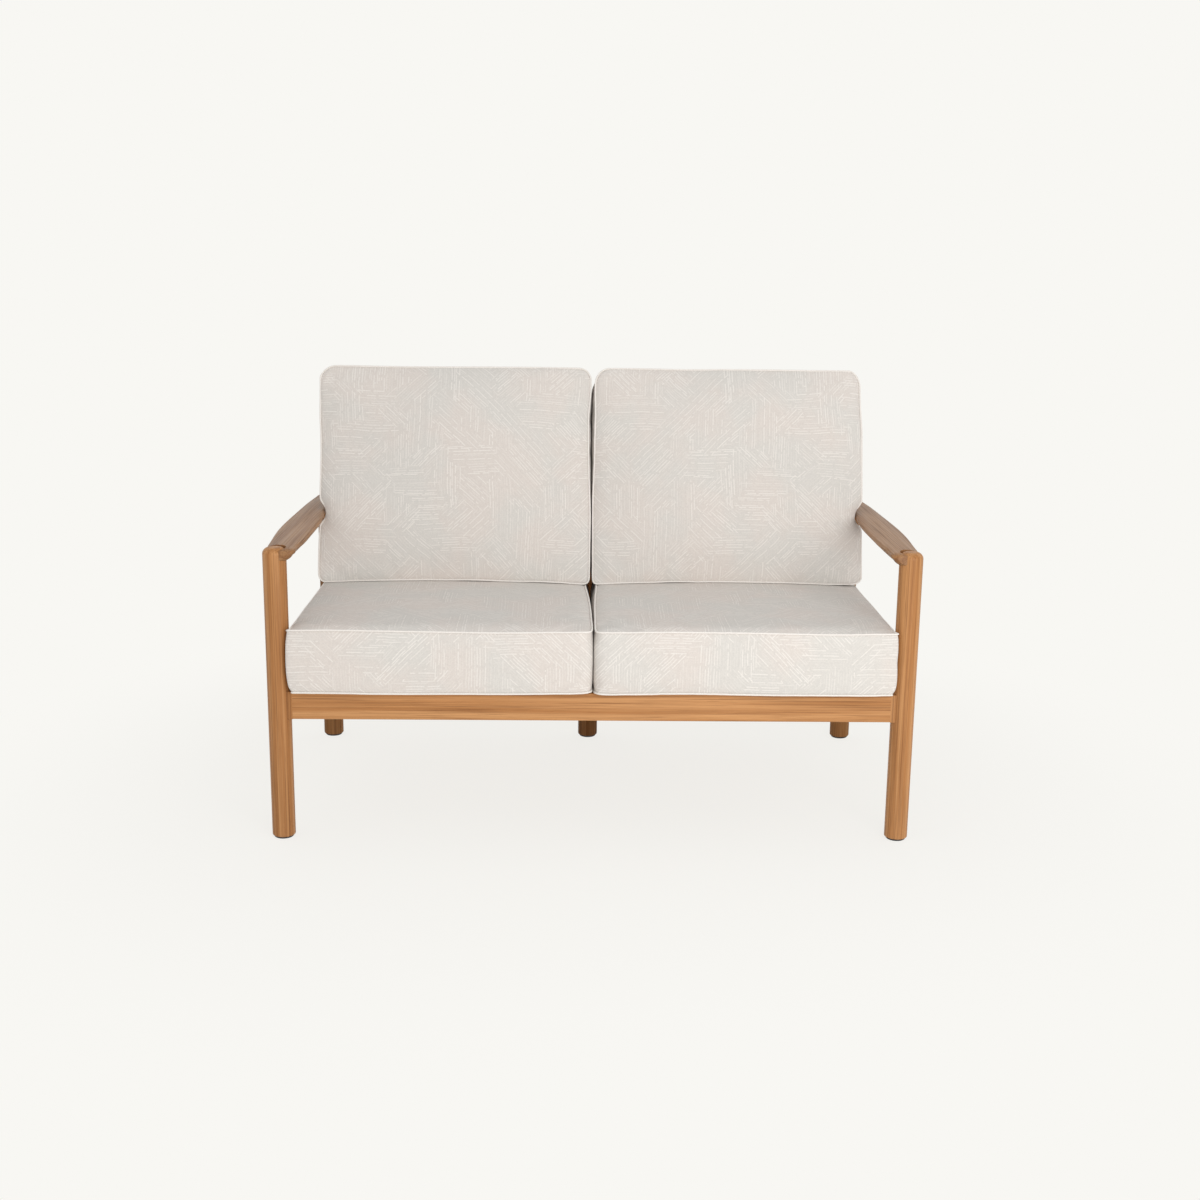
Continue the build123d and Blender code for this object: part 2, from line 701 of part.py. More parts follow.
def press_plane(rise):
    """Both cushions are pressed to one plane, which falls towards the rear from the seat
    cushion's crown to its rear seam, so the seat cushion stays convex under the back one."""
    return Plane(origin=(0, seat_rear, seat_top + rise),
                 z_dir=(0, sin(radians(press_slope)), cos(radians(press_slope))))


def seat_form(inset):
    """A seat cushion. Behind its front face it narrows to pass between the posts, and its
    rear is pressed by the back cushion."""
    with BuildPart() as form:
        add(cushion_form(seat_plane, seat_outer - cushion_gap, seat_rear - seat_front,
                         seat_cushion_height, seat_crown, seat_corner, inset))
        flare_rear = post_front - seat_pass if inset == 0 else seat_front - overrun
        block((inner_x - cushion_gap - inset, flare_rear, 0),
              (seat_outer + overrun, seat_rear + overrun, arm_top), mode=Mode.SUBTRACT)
        split(bisect_by=press_plane(-inset), keep=Keep.BOTTOM)
    return form.part


arm_clear_x = inner_x - arm_side_gap
back_cushion_half_width = arm_clear_x + back_arm_overlap
back_reach = back_cushion_thickness + cushion_gap
press_fall = tan(radians(press_slope))
back_cushion_rise = (
    seat_cushion_height + 2 * cushion_gap - back_cushion_press
    + (back_reach * cos(lean) - cushion_gap) * press_fall
    - back_reach * sin(lean)
) / (cos(lean) + sin(lean) * press_fall)
back_plane_cushion = Plane(
    origin=back_point((back_cushion_half_width + cushion_gap) / 2,
                      back_cushion_rise + back_cushion_height / 2, cushion_gap),
    x_dir=(1, 0, 0), z_dir=frame_plane.z_dir)


def back_form(inset):
    """A back cushion. It stands pressed on the seat cushion and is notched over the arm."""
    with BuildPart() as form:
        add(cushion_form(back_plane_cushion, back_cushion_half_width - cushion_gap,
                         back_cushion_height, back_cushion_thickness, back_crown, back_corner,
                         inset))
        split(bisect_by=press_plane(cushion_gap + inset), keep=Keep.TOP)
        block((arm_clear_x - inset, -overall_depth, 0),
              (leg_spacing_wide, overall_depth, arm_top + cushion_gap + inset),
              mode=Mode.SUBTRACT)
    return form.part


for name, form in (("seat", seat_form), ("back", back_form)):
    with BuildPart() as cover:
        add(form(0))
        add(form(cover_wall), mode=Mode.SUBTRACT)
    save_pair(cover.part, f"{name}_cushion_cover")
    save_pair(form(cover_wall + cushion_gap), f"{name}_cushion_foam")

print("overall depth", round(overall_depth, 1), "post front", round(post_front, 2))
print("leg centres y", round(post_y, 2), round(rear_leg_y, 2), "seat top", seat_top)
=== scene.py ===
# %% [markdown]
# A patio loveseat stands on five round teak legs. Loose boxed cushions lie on its slats.
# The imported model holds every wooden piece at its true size, so this lesson only dresses it:
# wood and hardware get their finishes, and the four cushions are sewn and filled as meshes.

# %% Load the frame
import json
import math

import bmesh
import bpy
from mathutils import Matrix, Vector, noise


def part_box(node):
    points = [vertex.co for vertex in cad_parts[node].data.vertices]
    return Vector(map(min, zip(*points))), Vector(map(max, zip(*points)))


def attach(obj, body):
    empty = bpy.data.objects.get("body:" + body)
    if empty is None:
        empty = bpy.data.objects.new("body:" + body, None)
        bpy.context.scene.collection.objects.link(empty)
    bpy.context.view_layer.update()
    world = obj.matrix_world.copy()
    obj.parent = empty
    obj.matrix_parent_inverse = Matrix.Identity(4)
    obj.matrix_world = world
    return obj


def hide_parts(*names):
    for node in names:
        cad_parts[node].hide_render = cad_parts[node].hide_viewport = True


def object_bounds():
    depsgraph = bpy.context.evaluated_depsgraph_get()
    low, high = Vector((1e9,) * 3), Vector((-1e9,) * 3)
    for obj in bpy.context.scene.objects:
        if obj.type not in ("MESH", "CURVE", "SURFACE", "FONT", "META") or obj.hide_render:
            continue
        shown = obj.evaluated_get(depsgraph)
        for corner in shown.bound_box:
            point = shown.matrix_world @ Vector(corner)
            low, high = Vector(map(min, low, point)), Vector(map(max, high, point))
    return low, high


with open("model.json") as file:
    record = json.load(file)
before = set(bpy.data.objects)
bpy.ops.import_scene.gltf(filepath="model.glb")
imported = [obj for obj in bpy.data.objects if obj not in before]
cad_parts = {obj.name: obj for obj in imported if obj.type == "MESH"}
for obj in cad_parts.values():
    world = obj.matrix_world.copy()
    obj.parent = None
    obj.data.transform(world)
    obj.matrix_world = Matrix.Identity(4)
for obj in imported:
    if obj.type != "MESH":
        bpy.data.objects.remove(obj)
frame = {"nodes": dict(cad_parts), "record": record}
cad_low, cad_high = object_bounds()
nodes = frame["nodes"]
scene = bpy.context.scene
print("CAD box", tuple(cad_low), tuple(cad_high))

# %% [markdown]
# The camera stands three metres in front of the loveseat, a little above eye height of
# someone sitting, and looks down at it slightly. Its axes are built from three small angles,
# because a tilt of the horizon by less than a degree is easier to state than to aim.

# %% Camera
CAMERA_PLACE = Vector((-0.0529, -3.3622, 1.192))
CAMERA_YAW, CAMERA_PITCH, CAMERA_ROLL = 0.0218, 0.2241, 0.0121
CAMERA_LENS = 45.84
UP = Vector((0, 0, 1))

level = Vector((math.sin(CAMERA_YAW), math.cos(CAMERA_YAW), 0))
forward = level * math.cos(CAMERA_PITCH) - UP * math.sin(CAMERA_PITCH)
upright = UP * math.cos(CAMERA_PITCH) + level * math.sin(CAMERA_PITCH)
side = level.cross(UP)
right = side * math.cos(CAMERA_ROLL) + upright * math.sin(CAMERA_ROLL)
top = upright * math.cos(CAMERA_ROLL) - side * math.sin(CAMERA_ROLL)

lens = bpy.data.cameras.new("camera")
lens.lens = CAMERA_LENS
camera = bpy.data.objects.new("camera", lens)
scene.collection.objects.link(camera)
axes = Matrix((right, top, -forward)).transposed()
camera.matrix_world = Matrix.Translation(CAMERA_PLACE) @ axes.to_4x4()
scene.camera = camera
print("camera at", tuple(CAMERA_PLACE), "lens", CAMERA_LENS, "mm")

# %% [markdown]
# Materials are chains of nodes. Two small helpers keep such chains short to write: one adds
# a node and fills its inputs, and one does a sum on two values.


# %% Node helpers
def add_node(tree, kind, inputs=None, **options):
    """Adds a node, sets its options, and fills its inputs with values or links."""
    node = tree.nodes.new(kind)
    for key, value in options.items():
        setattr(node, key, value)
    for key, value in (inputs or {}).items():
        if isinstance(value, bpy.types.NodeSocket):
            tree.links.new(value, node.inputs[key])
        else:
            node.inputs[key].default_value = value
    return node


def sum_of(tree, operation, first, second=0.0):
    """One Math node on two values or sockets."""
    return add_node(tree, "ShaderNodeMath", {0: first, 1: second},
                    operation=operation).outputs[0]


def span(tree, value, low, high, to_low=0.0, to_high=1.0):
    """Maps a range of a value to another range, smoothly and clamped."""
    mapped = add_node(tree, "ShaderNodeMapRange",
                      {"Value": value, "From Min": low, "From Max": high,
                       "To Min": to_low, "To Max": to_high}, interpolation_type="SMOOTHSTEP")
    return mapped.outputs["Result"]


def blend_colours(tree, share, first, second, how="MIX"):
    """Mixes two colours by a share."""
    mixed = add_node(tree, "ShaderNodeMix", data_type="RGBA", blend_type=how)
    for key, value in ((0, share), (6, first), (7, second)):
        if isinstance(value, bpy.types.NodeSocket):
            tree.links.new(value, mixed.inputs[key])
        else:
            mixed.inputs[key].default_value = value
    return mixed.outputs[2]


def srgb(red, green, blue):
    """A colour as a screen shows it, from 0 to 255, turned into light."""
    def light(value):
        share = value / 255
        return share / 12.92 if share <= 0.04045 else ((share + 0.055) / 1.055) ** 2.4
    return (light(red), light(green), light(blue), 1.0)


def new_material(name):
    """A material with its shader, ready for a chain of nodes."""
    material = bpy.data.materials.new(name)
    material.use_nodes = True
    return material, material.node_tree, material.node_tree.nodes["Principled BSDF"]


def link_mesh(shape, name):
    """Turns a bmesh into an object at the origin."""
    mesh = bpy.data.meshes.new(name)
    shape.to_mesh(mesh)
    shape.free()
    piece = bpy.data.objects.new(name, mesh)
    scene.collection.objects.link(piece)
    return piece


# %% [markdown]
# The floor takes the loveseat's soft shadow near its feet and turns into the plain pale
# backdrop further out. Only rays that reach the camera see that change, so the light on the
# furniture stays that of a plain room.

# %% Stage
BACKDROP = srgb(248, 247, 243)
FLOOR_SIZE = 30.0
SHADOW_NEAR, SHADOW_FAR = 0.75, 1.6
FLOOR_GLOW = 0.85
scene.view_settings.view_transform = "Standard"

plane = bmesh.new()
bmesh.ops.create_grid(plane, x_segments=1, y_segments=1, size=FLOOR_SIZE)
floor = link_mesh(plane, "floor")


def seen_directly(tree):
    """A value of 1 for rays from the camera, a mirror or a clear solid."""
    path = add_node(tree, "ShaderNodeLightPath")
    seen = sum_of(tree, "MAXIMUM", path.outputs["Is Camera Ray"], path.outputs["Is Glossy Ray"])
    return sum_of(tree, "MAXIMUM", seen, path.outputs["Is Transmission Ray"])


FLOOR_PAINT = srgb(243, 242, 239)
floor_paint, tree, shader = new_material("floor_paint")
shader.inputs["Base Color"].default_value = FLOOR_PAINT
shader.inputs["Roughness"].default_value = 1.0
shader.inputs["Specular IOR Level"].default_value = 0.0
place = add_node(tree, "ShaderNodeTexCoord").outputs["Object"]
distance = add_node(tree, "ShaderNodeVectorMath", {0: place},
                    operation="LENGTH").outputs["Value"]
away = span(tree, distance, SHADOW_NEAR, SHADOW_FAR, FLOOR_GLOW, 1.0)
glow = add_node(tree, "ShaderNodeEmission", {"Color": BACKDROP, "Strength": 1.0})
share = sum_of(tree, "MULTIPLY", away, seen_directly(tree))
both = add_node(tree, "ShaderNodeMixShader",
                {0: share, 1: shader.outputs[0], 2: glow.outputs[0]})
tree.links.new(both.outputs[0], tree.nodes["Material Output"].inputs["Surface"])
floor.data.materials.append(floor_paint)
print("floor", 2 * FLOOR_SIZE, "m wide, plain beyond", SHADOW_FAR, "m")

# %% [markdown]
# A white sky lights every side, so no shadow is black. One large square lamp stands to the
# right of the camera, at its height. It makes the left sides of the posts and cushions a
# shade darker than the right ones, which shows how round they are.

# %% Light
SKY_LIGHT = 0.73
world = bpy.data.worlds.new("world")
world.use_nodes = True
scene.world = world
tree = world.node_tree
sky = add_node(tree, "ShaderNodeBackground", {"Color": (1, 1, 1, 1), "Strength": SKY_LIGHT})
backdrop = add_node(tree, "ShaderNodeBackground", {"Color": BACKDROP, "Strength": 1.0})
both = add_node(tree, "ShaderNodeMixShader",
                {0: seen_directly(tree), 1: sky.outputs[0], 2: backdrop.outputs[0]})
tree.links.new(both.outputs[0], tree.nodes["World Output"].inputs["Surface"])

LAMP_PLACE = Vector((1.1, -3.2, 1.2))
LAMP_AIM = Vector((0.0, -0.1, 0.45))
LAMP_POWER = 50.0
LAMP_SIZE = 1.8

lamp = bpy.data.lights.new("front_light", "AREA")
lamp.energy = LAMP_POWER
lamp.size = LAMP_SIZE
holder = bpy.data.objects.new("front_light", lamp)
holder.location = LAMP_PLACE
holder.rotation_euler = (LAMP_AIM - LAMP_PLACE).to_track_quat("-Z", "Y").to_euler()
scene.collection.objects.link(holder)

# %% [markdown]
# Teak has straight, fine grain: broad tan and orange bands, thin darker streaks and short
# dark pores, all drawn out along the board. Noise stretched along the grain gives each of
# them. The grain turns with the board, so the material is made for a board's direction, and
# a different start in the noise keeps two boards from looking alike.

# %% Teak
TEAK_LIGHT = srgb(203, 149, 98)
TEAK_MID = srgb(176, 121, 72)
TEAK_DARK = srgb(108, 65, 33)
STREAK_DEPTH = 0.6
PORE_DEPTH = 0.4
PORE_RELIEF = 0.6
BOARD_STEP = (0.37, 0.53, 1.9)
GRAIN_TURNS = {
    "x": (0, math.radians(90), 0),
    "y": (math.radians(90), 0, 0),
    "z": (0, 0, 0),
    "lean": (math.radians(15), 0, 0),
}


def stretched_noise(tree, place, across, along, detail, twist=0.0):
    """Noise that is fine across the grain and long along it."""
    scaled = add_node(tree, "ShaderNodeMapping",
                      {"Vector": place, "Scale": (across, across, along)}).outputs[0]
    return add_node(tree, "ShaderNodeTexNoise",
                    {"Vector": scaled, "Scale": 1.0, "Detail": detail, "Roughness": 0.55,
                     "Distortion": twist}).outputs["Fac"]


def teak(name, grain, start, painted_shade, gloss):
    """Oiled teak with its grain along one direction. start moves the noise, painted_shade
    darkens the whole board as painted shade, and gloss sets how much it mirrors."""
    material, tree, shader = new_material(name)
    place = add_node(tree, "ShaderNodeTexCoord").outputs["Object"]
    turned = add_node(tree, "ShaderNodeMapping",
                      {"Vector": place, "Rotation": GRAIN_TURNS[grain],
                       "Location": tuple(start * step for step in BOARD_STEP)}).outputs[0]
    bands = stretched_noise(tree, turned, across=80, along=1.3, detail=4, twist=0.3)
    streaks = stretched_noise(tree, turned, across=430, along=3.5, detail=4, twist=0.15)
    pores = stretched_noise(tree, turned, across=1100, along=16, detail=2)
    cloud = stretched_noise(tree, turned, across=6, along=1.2, detail=2)
    colour = blend_colours(tree, span(tree, bands, 0.35, 0.65), TEAK_LIGHT, TEAK_MID)
    streak_share = span(tree, streaks, 0.47, 0.72, 0.0, STREAK_DEPTH)
    colour = blend_colours(tree, streak_share, colour, TEAK_DARK)
    pore_share = span(tree, pores, 0.55, 0.75, 0.0, PORE_DEPTH)
    colour = blend_colours(tree, pore_share, colour, TEAK_DARK)
    # The cloud gives random tone, and painted_shade scales it down as painted shade on the
    # darker pieces.
    tone = span(tree, cloud, 0.3, 0.7, 0.9 * painted_shade, 1.06 * painted_shade)
    toned = add_node(tree, "ShaderNodeVectorMath", {0: colour, "Scale": tone},
                     operation="SCALE").outputs[0]
    tree.links.new(toned, shader.inputs["Base Color"])
    rough = span(tree, streaks, 0.3, 0.8, 0.36, 0.55)
    tree.links.new(rough, shader.inputs["Roughness"])
    shader.inputs["Specular IOR Level"].default_value = gloss
    relief = sum_of(tree, "ADD", streaks, sum_of(tree, "MULTIPLY", pores, PORE_RELIEF))
    bump = add_node(tree, "ShaderNodeBump",
                    {"Height": relief, "Strength": 0.35, "Distance": 0.0006})
    tree.links.new(bump.outputs[0], shader.inputs["Normal"])
    return material


GRAINS = {
    "front_post": "z", "rear_leg": "z", "centre_rear_leg": "z", "arm_dowels": "z",
    "front_rail": "x", "rear_rail": "x", "seat_slat": "x", "back_low_rail": "x",
    "back_top_rail": "x", "arm_": "y", "side_rail": "y", "slat_ledger": "y",
    "centre_stretcher": "y", "stile_block": "y", "back_slat": "lean", "back_stile": "lean",
}
# The legs under the seat, the arms and the front posts are darkened as painted shade,
# most of all the rear legs; the arms are the most polished.
PAINTED_SHADES = {"rear_leg": 0.52, "centre_rear_leg": 0.36, "front_post": 0.92, "arm_": 0.58}
GLOSSES = {"arm_": 0.4, "rear_leg": 0.05, "centre_rear_leg": 0.05}
PLAIN_GLOSS = 0.2


def by_start(table, name, default=None):
    """The entry whose key the name starts with, the longest such key first."""
    for key in sorted(table, key=len, reverse=True):
        if name.startswith(key):
            return table[key]
    return default


wooden = [s["node"] for s in frame["record"]["subparts"] if s["material_slot"] == "teak"]
for count, name in enumerate(wooden):
    finish = teak(f"teak_{name}", by_start(GRAINS, name), count + 1,
                  by_start(PAINTED_SHADES, name, 1.0), by_start(GLOSSES, name, PLAIN_GLOSS))
    nodes[name].data.materials.clear()
    nodes[name].data.materials.append(finish)
print("wooden pieces", len(wooden))

# %% [markdown]
# The hardware is plain: stainless screws, brass inserts and black nylon glides. Each has a
# fine surface texture, which breaks up its reflections.


# %% Hardware finishes
WORN_SHARE = 0.75


def hardware(name, colour, metallic, roughness, texture_scale):
    """A plain finish with a fine uneven surface."""
    material, tree, shader = new_material(name)
    place = add_node(tree, "ShaderNodeTexCoord").outputs["Object"]
    grit = add_node(tree, "ShaderNodeTexNoise",
                    {"Vector": place, "Scale": texture_scale, "Detail": 3.0}).outputs["Fac"]
    worn = tuple(WORN_SHARE * value for value in colour[:3]) + (1.0,)
    tint = blend_colours(tree, span(tree, grit, 0.3, 0.7), colour, worn)
    tree.links.new(tint, shader.inputs["Base Color"])
    tree.links.new(span(tree, grit, 0.3, 0.7, roughness, roughness + 0.15),
                   shader.inputs["Roughness"])
    shader.inputs["Metallic"].default_value = metallic
    bump = add_node(tree, "ShaderNodeBump",
                    {"Height": grit, "Strength": 0.2, "Distance": 0.0002})
    tree.links.new(bump.outputs[0], shader.inputs["Normal"])
    return material


HARDWARE = {
    "glide_nylon": hardware("black_nylon", srgb(38, 36, 35), 0.0, 0.5, 900),
    "steel_fastener": hardware("stainless_steel", srgb(190, 190, 188), 1.0, 0.3, 1500),
    "brass_insert": hardware("brass", srgb(205, 170, 100), 1.0, 0.3, 1500),
}
for subpart in frame["record"]["subparts"]:
    if subpart["material_slot"] in HARDWARE:
        piece = nodes[subpart["node"]]
        piece.data.materials.clear()
        piece.data.materials.append(HARDWARE[subpart["material_slot"]])
print("hardware finishes", len(HARDWARE))

# %% [markdown]
# The outdoor fabric is a warm pale grey weave with small patches of thin lighter strokes. In
# each patch the strokes run one of four ways: level, upright or along a diagonal. A Voronoi
# texture on the cloth's own map says which way each spot belongs to. Every stroke asks it at
# its own place along the row, shifted by its own luck, so the patches end raggedly. The map
# is in metres, so the pattern has its real size on every panel.

# %% Fabric
CLOTH_WARM = srgb(214, 206, 199)
CLOTH_COOL = srgb(210, 206, 200)
CLOTH_LINE = srgb(232, 227, 221)
PATCH_SIZE = 0.060
STROKE_PITCH = 0.0056
STROKE_LENGTH = 0.044
STROKE_JITTER = 0.032
STROKE_WAYS = 4
HAND_WANDER = 0.006
THREAD = 0.0009
STROKE_HALF = (0.08, 0.28)
STROKE_BREAK = (0.10, 0.18)
STROKE_STRENGTH = (0.15, 0.9)
HATCH_SHARE = 0.8


def strokes(tree, cloth, way):
    """The strokes that run one way, from 0 to 1, kept to the patches of that way."""
    turn = math.pi * way / STROKE_WAYS
    turned = add_node(tree, "ShaderNodeVectorRotate", {"Vector": cloth, "Angle": turn},
                      rotation_type="Z_AXIS").outputs[0]
    parts = add_node(tree, "ShaderNodeSeparateXYZ", {0: turned})
    row = sum_of(tree, "DIVIDE", parts.outputs["Y"], STROKE_PITCH)
    number = sum_of(tree, "FLOOR", row)
    luck = add_node(tree, "ShaderNodeTexWhiteNoise",
                    {"W": sum_of(tree, "ADD", number, 1000.0 * way)}, noise_dimensions="1D")
    lots = add_node(tree, "ShaderNodeSeparateColor", {0: luck.outputs["Color"]})
    shift = sum_of(tree, "MULTIPLY", sum_of(tree, "SUBTRACT", lots.outputs[0], 0.5),
                   STROKE_JITTER)
    middle = sum_of(tree, "MULTIPLY", sum_of(tree, "ADD", number, 0.5), STROKE_PITCH)
    spot = add_node(tree, "ShaderNodeCombineXYZ",
                    {"X": sum_of(tree, "ADD", parts.outputs["X"], shift), "Y": middle})
    back = add_node(tree, "ShaderNodeVectorRotate", {"Vector": spot.outputs[0], "Angle": -turn},
                    rotation_type="Z_AXIS").outputs[0]
    patch = add_node(tree, "ShaderNodeTexVoronoi",
                     {"Vector": back, "Scale": 1 / PATCH_SIZE, "Randomness": 0.9},
                     voronoi_dimensions="2D", feature="F1")
    lot = add_node(tree, "ShaderNodeSeparateColor", {0: patch.outputs["Color"]}).outputs[0]
    its_way = sum_of(tree, "FLOOR", sum_of(tree, "MULTIPLY", lot, float(STROKE_WAYS)))
    gap = sum_of(tree, "ABSOLUTE", sum_of(tree, "SUBTRACT", its_way, float(way)))
    chosen = sum_of(tree, "LESS_THAN", gap, 0.5)
    centre = span(tree, lots.outputs[1], 0.0, 1.0, 0.3, 0.7)
    across = sum_of(tree, "ABSOLUTE",
                    sum_of(tree, "SUBTRACT", sum_of(tree, "FRACT", row), centre))
    thin = span(tree, across, *STROKE_HALF, 1.0, 0.0)
    run = sum_of(tree, "ADD", sum_of(tree, "DIVIDE", parts.outputs["X"], STROKE_LENGTH),
                 lots.outputs[1])
    broken = span(tree, sum_of(tree, "FRACT", run), *STROKE_BREAK)
    strength = span(tree, lots.outputs[2], 0.0, 1.0, *STROKE_STRENGTH)
    drawn = sum_of(tree, "MULTIPLY", sum_of(tree, "MULTIPLY", thin, broken), strength)
    return sum_of(tree, "MULTIPLY", drawn, chosen)


def woven_cloth(name):
    """Outdoor fabric with patches of strokes, drawn on the cloth's map in metres."""
    material, tree, shader = new_material(name)
    flat = add_node(tree, "ShaderNodeUVMap", uv_map="cloth").outputs[0]
    wander = add_node(tree, "ShaderNodeTexNoise",
                      {"Vector": flat, "Scale": 14.0, "Detail": 2.0}).outputs["Color"]
    moved = add_node(tree, "ShaderNodeVectorMath", {0: wander, "Scale": HAND_WANDER},
                     operation="SCALE").outputs[0]
    cloth = add_node(tree, "ShaderNodeVectorMath", {0: flat, 1: moved}).outputs[0]
    hatch = strokes(tree, cloth, 0)
    for way in range(1, STROKE_WAYS):
        hatch = sum_of(tree, "MAXIMUM", hatch, strokes(tree, cloth, way))
    threads = add_node(tree, "ShaderNodeVectorMath", {0: flat, "Scale": math.pi / THREAD},
                       operation="SCALE").outputs[0]
    thread_parts = add_node(tree, "ShaderNodeSeparateXYZ", {0: threads})
    weave = sum_of(tree, "MULTIPLY", sum_of(tree, "SINE", thread_parts.outputs["X"]),
                   sum_of(tree, "SINE", thread_parts.outputs["Y"]))
    place = add_node(tree, "ShaderNodeTexCoord").outputs["Object"]
    soil = add_node(tree, "ShaderNodeTexNoise",
                    {"Vector": place, "Scale": 7.0, "Detail": 3.0}).outputs["Fac"]
    fleck = add_node(tree, "ShaderNodeTexNoise",
                     {"Vector": place, "Scale": 380.0, "Detail": 2.0}).outputs["Fac"]
    tone = span(tree, fleck, 0.3, 0.7, 0.96, 1.03)
    ground = blend_colours(tree, span(tree, soil, 0.38, 0.62), CLOTH_WARM, CLOTH_COOL)
    hatch_share = sum_of(tree, "MULTIPLY", hatch, HATCH_SHARE)
    colour = blend_colours(tree, hatch_share, ground, CLOTH_LINE)
    toned = add_node(tree, "ShaderNodeVectorMath", {0: colour, "Scale": tone},
                     operation="SCALE").outputs[0]
    tree.links.new(toned, shader.inputs["Base Color"])
    shader.inputs["Roughness"].default_value = 0.9
    shader.inputs["Specular IOR Level"].default_value = 0.2
    shader.inputs["Sheen Weight"].default_value = 0.1
    shader.inputs["Sheen Roughness"].default_value = 0.5
    height = sum_of(tree, "ADD", sum_of(tree, "MULTIPLY", weave, 0.3),
                    sum_of(tree, "MULTIPLY", hatch, 0.6))
    bump = add_node(tree, "ShaderNodeBump",
                    {"Height": height, "Strength": 0.3, "Distance": 0.0004})
    tree.links.new(bump.outputs[0], shader.inputs["Normal"])
    return material


PIPING_DEEP = srgb(224, 218, 211)
PIPING_PALE = srgb(240, 235, 229)


def cord_cloth(name):
    """The plain cloth of the piping, a little lighter than the panels."""
    material, tree, shader = new_material(name)
    place = add_node(tree, "ShaderNodeTexCoord").outputs["Object"]
    fleck = add_node(tree, "ShaderNodeTexNoise",
                     {"Vector": place, "Scale": 700.0, "Detail": 3.0}).outputs["Fac"]
    tint = blend_colours(tree, span(tree, fleck, 0.3, 0.7), PIPING_DEEP, PIPING_PALE)
    tree.links.new(tint, shader.inputs["Base Color"])
    shader.inputs["Roughness"].default_value = 0.9
    shader.inputs["Sheen Weight"].default_value = 0.15
    bump = add_node(tree, "ShaderNodeBump",
                    {"Height": fleck, "Strength": 0.4, "Distance": 0.0004})
    tree.links.new(bump.outputs[0], shader.inputs["Normal"])
    return material


PANEL_CLOTH = woven_cloth("panel_cloth")
PIPING_CLOTH = cord_cloth("piping_cloth")
print("cloth patches of", PATCH_SIZE, "m, strokes every", STROKE_PITCH, "m")

# %% [markdown]
# A boxed cushion is two equal panels joined by a strip, the boxing, with a piped seam along
# each edge. It starts as a flat grid of small squares. The grid is pushed into round corners,
# lifted to the other panel by an extrusion, and the strip is cut into rows. Small even
# squares are what a cloth simulation needs.

# %% Cushion blank
CELL = 0.0105
TOUCH = 1e-5
RIM_CREASE = 0.5
PANEL_PLACE = 2.0
BOXING_PLACE = 10.0


def round_corner(x, y, half_x, half_y, corners):
    """Moves a point of a rectangle into the same rectangle with round corners. The corners
    are radii: inner low, outer low, inner high, outer high."""
    corner = corners[(x > 0) + 2 * (y > 0)]
    run_x, run_y = half_x - corner, half_y - corner
    if abs(x) <= run_x or abs(y) <= run_y:
        return x, y
    u, v = (abs(x) - run_x) / corner, (abs(y) - run_y) / corner
    round_u, round_v = u * math.sqrt(1 - v * v / 2), v * math.sqrt(1 - u * u / 2)
    return (math.copysign(run_x + corner * round_u, x),
            math.copysign(run_y + corner * round_v, y))


def settle_order(group, middle):
    """Sorts vertices, edges or faces by their places. An extrusion leaves them in another
    order on each run, and a cloth simulation follows that order."""
    placed = sorted(group, key=lambda item: tuple(round(c, 6) for c in middle(item)))
    ranks = {item: rank for rank, item in enumerate(placed)}
    group.sort(key=lambda item: ranks[item])
    group.index_update()


def cushion_blank(width, height, thickness, corners):
    """A closed boxed form of squares, centred on X and Y, standing on Z = 0."""
    shape = bmesh.new()
    bmesh.ops.create_grid(shape, x_segments=round(width / CELL),
                          y_segments=round(height / CELL), size=0.5)
    bmesh.ops.scale(shape, vec=(width, height, 1), verts=shape.verts)
    for vert in shape.verts:
        vert.co.x, vert.co.y = round_corner(vert.co.x, vert.co.y, width / 2, height / 2, corners)
    lifted = bmesh.ops.extrude_face_region(shape, geom=list(shape.faces), use_keep_orig=True)
    moved = [v for v in lifted["geom"] if isinstance(v, bmesh.types.BMVert)]
    bmesh.ops.translate(shape, vec=(0, 0, thickness), verts=moved)
    upright = [e for e in shape.edges if abs(e.verts[0].co.z - e.verts[1].co.z) > TOUCH]
    bmesh.ops.subdivide_edges(shape, edges=upright, cuts=round(thickness / CELL) - 1,
                              use_grid_fill=True)
    bmesh.ops.recalc_face_normals(shape, faces=shape.faces)
    settle_order(shape.verts, lambda vert: vert.co)
    settle_order(shape.edges, lambda edge: (edge.verts[0].co + edge.verts[1].co) / 2)
    settle_order(shape.faces, lambda face: face.calc_center_median())
    return shape


def is_panel(face):
    """Whether a face of a blank belongs to a panel, and not to the boxing."""
    return abs(face.normal.z) > 0.5


def rims(shape):
    """The two seams as rings of vertices, in order round the cushion: low, then high."""
    seam = [v for v in shape.verts
            if any(is_panel(f) for f in v.link_faces)
            and not all(is_panel(f) for f in v.link_faces)]
    middle = sum(v.co.z for v in seam) / len(seam)
    rings = ([v for v in seam if v.co.z < middle], [v for v in seam if v.co.z > middle])
    return [sorted(ring, key=lambda v: math.atan2(v.co.y, v.co.x)) for ring in rings]


def map_cloth(shape, low_rim):
    """Lays the cloth out flat, in metres: panels by their plan, the boxing by its length
    round the cushion and its height, each at its own place on the map."""
    layer = shape.loops.layers.uv.new("cloth")
    along, length = {}, 0.0
    for vert, after in zip(low_rim, low_rim[1:] + low_rim[:1]):
        along[round(vert.co.x, 4), round(vert.co.y, 4)] = length
        length += (after.co - vert.co).length
    for face in shape.faces:
        spots = [loop.vert.co for loop in face.loops]
        if is_panel(face):
            shift = math.copysign(PANEL_PLACE, face.normal.z)
            for loop, spot in zip(face.loops, spots):
                loop[layer].uv = (spot.x + shift, spot.y + shift)
            continue
        runs = [along[round(spot.x, 4), round(spot.y, 4)] for spot in spots]
        if max(runs) - min(runs) > length / 2:
            runs = [run + length if run < length / 2 else run for run in runs]
        for loop, run, spot in zip(face.loops, runs, spots):
            loop[layer].uv = (run + BOXING_PLACE, spot.z)


